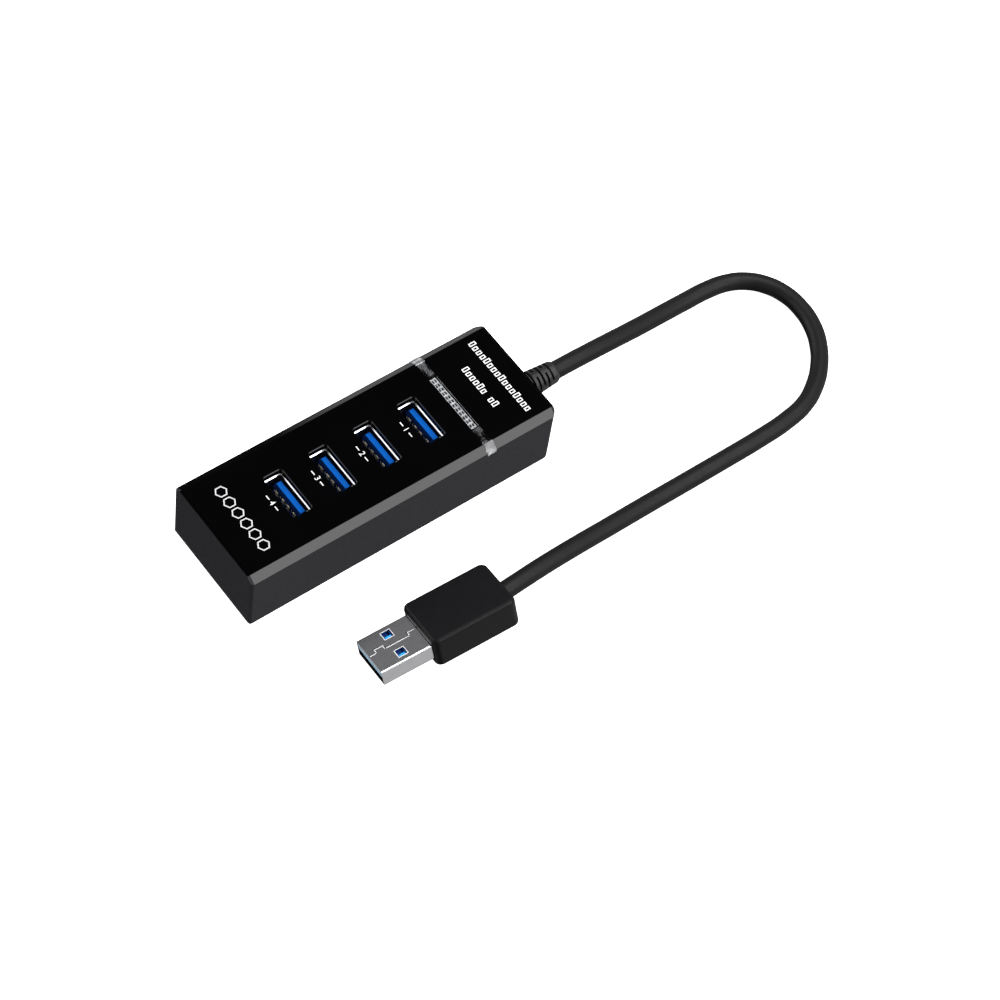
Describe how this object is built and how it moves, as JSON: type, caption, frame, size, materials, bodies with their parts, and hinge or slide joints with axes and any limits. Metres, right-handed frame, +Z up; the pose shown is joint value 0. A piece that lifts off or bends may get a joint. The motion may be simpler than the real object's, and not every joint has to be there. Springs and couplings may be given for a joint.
{
  "type": "usb hub",
  "caption": "Flat black USB hub with a row of upward-facing ports, a clear light strip, and a short fixed lead ending in a USB-A plug.",
  "frame": {"origin": "middle of the housing's underside, on the surface that the hub stands on", "axes": "+X along the housing towards the end that the lead leaves, +Y across the housing, +Z up, the way the ports face"},
  "size_m": [0.1662, 0.0673, 0.0181],
  "materials": {
    "housing_plastic": "fine-textured charcoal ABS",
    "cover_gloss": "polished black ABS",
    "clear_acrylic": "clear moulded acrylic",
    "diffuser_white": "white moulded plastic",
    "circuit_board": "green solder mask",
    "bright_metal": "nickel-plated sheet steel",
    "port_blue": "moulded blue plastic",
    "plug_blue": "moulded light-blue plastic",
    "contact_gold": "gold-flashed contact metal",
    "chip_black": "epoxy moulding compound",
    "ceramic": "sintered ceramic",
    "cord_black": "matte black PVC",
    "plug_black": "satin black PVC",
    "wire_red": "PVC insulation",
    "wire_green": "PVC insulation",
    "wire_white": "PVC insulation",
    "wire_black": "PVC insulation",
    "wire_blue": "PVC insulation"
  },
  "bodies": {
    "root": {"lower_housing": "housing_plastic", "top_cover": "cover_gloss", "light_guide": "clear_acrylic", "light_diffuser": "diffuser_white", "main_board": "circuit_board", "port_1_shell": "bright_metal", "port_1_insulator": "port_blue", "port_1_contacts": "contact_gold", "port_1_fuse": "ceramic", "port_2_shell": "bright_metal", "port_2_insulator": "port_blue", "port_2_contacts": "contact_gold", "port_2_fuse": "ceramic", "port_3_shell": "bright_metal", "port_3_insulator": "port_blue", "port_3_contacts": "contact_gold", "port_3_fuse": "ceramic", "port_4_shell": "bright_metal", "port_4_insulator": "port_blue", "port_4_contacts": "contact_gold", "port_4_fuse": "ceramic", "hub_controller": "chip_black", "crystal": "bright_metal", "power_regulator": "chip_black", "bulk_capacitor": "bright_metal", "led_near": "diffuser_white", "led_far": "diffuser_white", "strain_relief": "cord_black", "cable_tail": "cord_black", "lead_wire_1": "wire_red", "lead_wire_2": "wire_green", "lead_wire_3": "wire_white", "lead_wire_4": "wire_black", "lead_wire_5": "wire_blue", "cable": "cord_black", "plug_shell": "bright_metal", "plug_insulator": "plug_blue", "plug_contacts": "contact_gold", "plug_inner_mould": "diffuser_white", "plug_overmould": "plug_black"}
  },
  "joints": []
}
